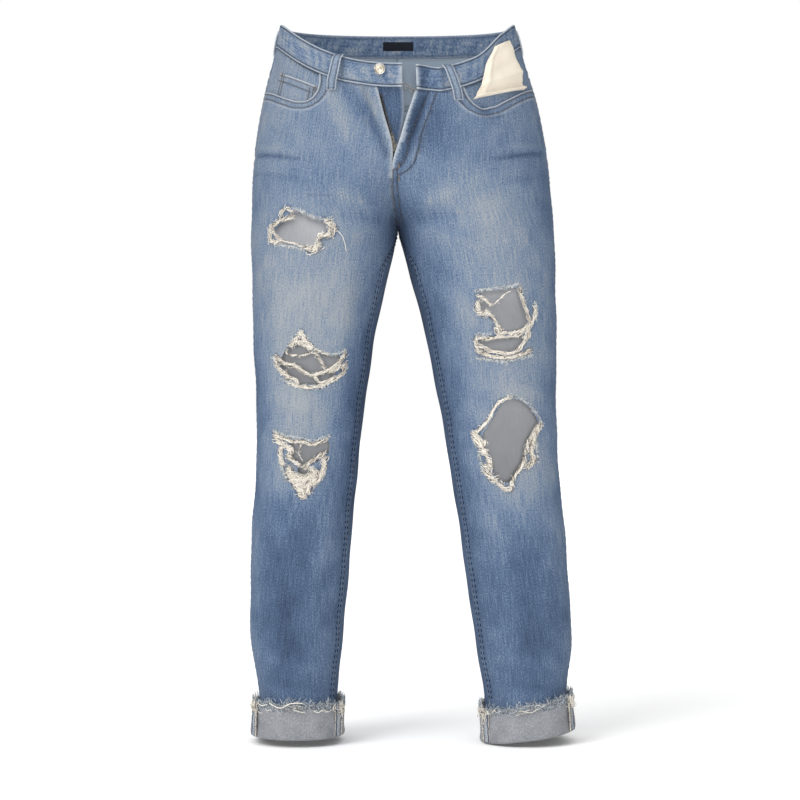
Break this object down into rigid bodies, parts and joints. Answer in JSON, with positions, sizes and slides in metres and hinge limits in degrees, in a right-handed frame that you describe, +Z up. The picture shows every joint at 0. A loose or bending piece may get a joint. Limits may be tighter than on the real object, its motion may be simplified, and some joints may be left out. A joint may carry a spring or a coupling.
{
  "type": "ripped jeans",
  "caption": "Worn blue denim trousers, filled out and hollow, with rips in the legs, an open fly, a pulled-out pocket bag and turned-up frayed hems.",
  "frame": {"origin": "centre of the waist, on the garment's middle plane, about 46 mm below the waistband's upper edge at the back", "axes": "+Z up along the wearer, the front faces -Y, the wearer's left side is +X"},
  "size_m": [0.4298, 0.2357, 0.9548],
  "materials": {
    "denim": "washed indigo twill, faded over thighs and knees",
    "denim_reverse": "pale grey reverse side of the same twill, frayed at its cut edge",
    "pocketing": "plain cream cotton",
    "woven_label": "dark damask, blank",
    "zip_tape": "dark blue woven tape",
    "zip_metal": "dull nickelled brass",
    "button_metal": "pale brass cap in a nickel rim, worn"
  },
  "bodies": {
    "garment": {"front_panel_right": "denim", "front_panel_left": "denim", "back_panel_right": "denim", "back_panel_left": "denim", "yoke_right": "denim", "yoke_left": "denim", "pocket_facing_right": "denim", "pocket_facing_left": "denim", "back_pocket_right": "denim", "back_pocket_left": "denim", "waistband_front_right": "denim", "waistband_front_left": "denim", "belt_loop_front_right": "denim", "belt_loop_front_left": "denim", "belt_loop_side_right": "denim", "belt_loop_side_left": "denim", "waistband_back": "denim", "belt_loop_back": "denim", "coin_pocket": "denim", "fly_shield": "denim", "cuff_right": "denim_reverse", "cuff_outseam_right": "denim_reverse", "cuff_inseam_right": "denim_reverse", "cuff_left": "denim_reverse", "cuff_outseam_left": "denim_reverse", "cuff_inseam_left": "denim_reverse", "zip_tape_right": "zip_tape", "zip_tape_left": "zip_tape", "zip_slider": "zip_metal", "waist_button": "button_metal", "waist_label": "woven_label", "pocket_bag_left": "pocketing"},
    "pull_tab": {"zip_pull_tab": "zip_metal"}
  },
  "joints": [
    {"name": "pull_tab_swing", "type": "hinge", "parent": "garment", "child": "pull_tab", "pos_m": [-0.00455, -0.10144, -0.13187], "axis": [0.9781, 0, 0.2079], "range_deg": [0, 90]}
  ]
}
